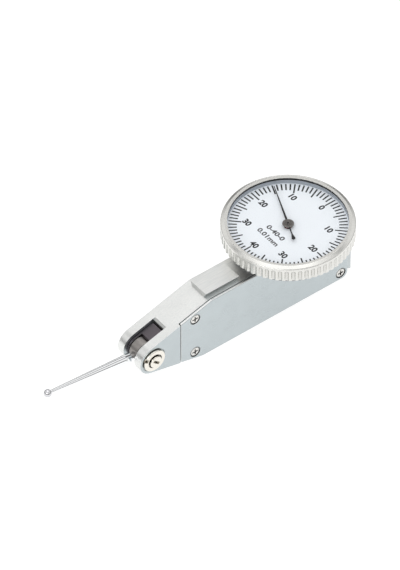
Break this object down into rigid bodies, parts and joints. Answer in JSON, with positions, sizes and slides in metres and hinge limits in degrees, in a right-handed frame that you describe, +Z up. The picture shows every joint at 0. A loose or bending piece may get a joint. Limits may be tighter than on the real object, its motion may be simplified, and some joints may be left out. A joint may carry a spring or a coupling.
{
  "type": "lever dial test indicator",
  "caption": "Lever-type dial test indicator: narrow dovetailed body, swivelling ball-tipped stylus, knurled rotating bezel and white dial.",
  "frame": {"origin": "on the flat underside of the body, below the dial's axis", "axes": "+X to the rear of the body, +Y to the far side, +Z up through the dial"},
  "size_m": [0.0887, 0.032, 0.0238],
  "materials": {
    "satin_body": "satin",
    "satin_cover": "fine satin",
    "satin_bezel": "satin",
    "bright_steel": "bright",
    "polished_chrome": "polished",
    "nickel_bronze": "nickel plated",
    "gear_brass": "fine",
    "dark_steel": "burnished",
    "warm_steel": "satin",
    "case_metal": "matt",
    "carbide": "polished",
    "spring_steel": "blued",
    "jewel": "polished",
    "dial_white": "matt",
    "ring_grey": "satin",
    "pointer_black": "satin",
    "seal_black": "matt",
    "drag_plastic": "matt",
    "crystal_clear": "polished"
  },
  "bodies": {
    "base": {"body_frame": "satin_body", "side_cover": "satin_cover", "cover_screws": "bright_steel", "bearing_ring_near": "nickel_bronze", "bearing_ring_far": "nickel_bronze", "pivot_screw_near": "nickel_bronze", "pivot_screw_far": "nickel_bronze", "movement_bridge": "gear_brass", "bridge_screws": "bright_steel", "jewel_bearings": "jewel", "centre_jewels": "jewel", "centre_bush": "gear_brass", "dial_case": "case_metal", "case_screws": "bright_steel", "bezel_drag_ring": "drag_plastic", "hairspring": "spring_steel", "hairspring_stud": "gear_brass"},
    "bezel_group": {"bezel": "satin_bezel", "bezel_snap_ring": "bright_steel", "dial_retainer": "bright_steel", "dial_plate": "dial_white", "spacer_ring": "ring_grey", "crystal_gasket": "seal_black", "crystal": "crystal_clear"},
    "lever_group": {"lever": "dark_steel", "pivot_axle": "bright_steel", "drive_pin": "bright_steel", "clutch_washers": "spring_steel"},
    "stylus_group": {"stylus_carrier": "warm_steel", "stylus": "polished_chrome", "stylus_ball": "carbide"},
    "sector_group": {"sector_gear": "gear_brass", "sector_arbor": "bright_steel"},
    "crown_group": {"crown_gear": "gear_brass", "crown_arbor": "bright_steel", "hairspring_collet": "gear_brass"},
    "pointer_group": {"centre_arbor": "bright_steel", "centre_pinion": "bright_steel", "pointer_hub": "warm_steel", "pointer": "pointer_black"}
  },
  "joints": [
    {"name": "bezel_turn", "type": "hinge", "parent": "base", "child": "bezel_group", "pos_m": [0, 0, 0.022], "axis": [0, 0, 1], "continuous": true},
    {"name": "lever_pivot", "type": "hinge", "parent": "base", "child": "lever_group", "pos_m": [-0.0433, 0, 0.00775], "axis": [0, 1, 0], "range_deg": [-0.88, 0.88], "stiffness_Nm_per_rad": 0.25},
    {"name": "stylus_swivel", "type": "hinge", "parent": "lever_group", "child": "stylus_group", "pos_m": [-0.0433, 0, 0.00775], "axis": [0, 1, 0], "range_deg": [-110, 90]},
    {"name": "sector_turn", "type": "hinge", "parent": "base", "child": "sector_group", "pos_m": [-0.01134, 0, 0.00775], "axis": [0, 1, 0], "range_deg": [-6.15, 6.15]},
    {"name": "crown_turn", "type": "hinge", "parent": "base", "child": "crown_group", "pos_m": [0, 0, 0.00775], "axis": [0, 1, 0], "range_deg": [-76.86, 76.86], "deforming": ["hairspring"]},
    {"name": "pointer_turn", "type": "hinge", "parent": "base", "child": "pointer_group", "pos_m": [0, 0, 0.0227], "axis": [0, 0, 1], "range_deg": [-192.14, 192.14]}
  ],
  "couplings": [
    {"joint": "sector_turn", "follows": "lever_pivot", "ratio": -6.9869},
    {"joint": "crown_turn", "follows": "lever_pivot", "ratio": 87.336},
    {"joint": "pointer_turn", "follows": "lever_pivot", "ratio": 218.34}
  ]
}
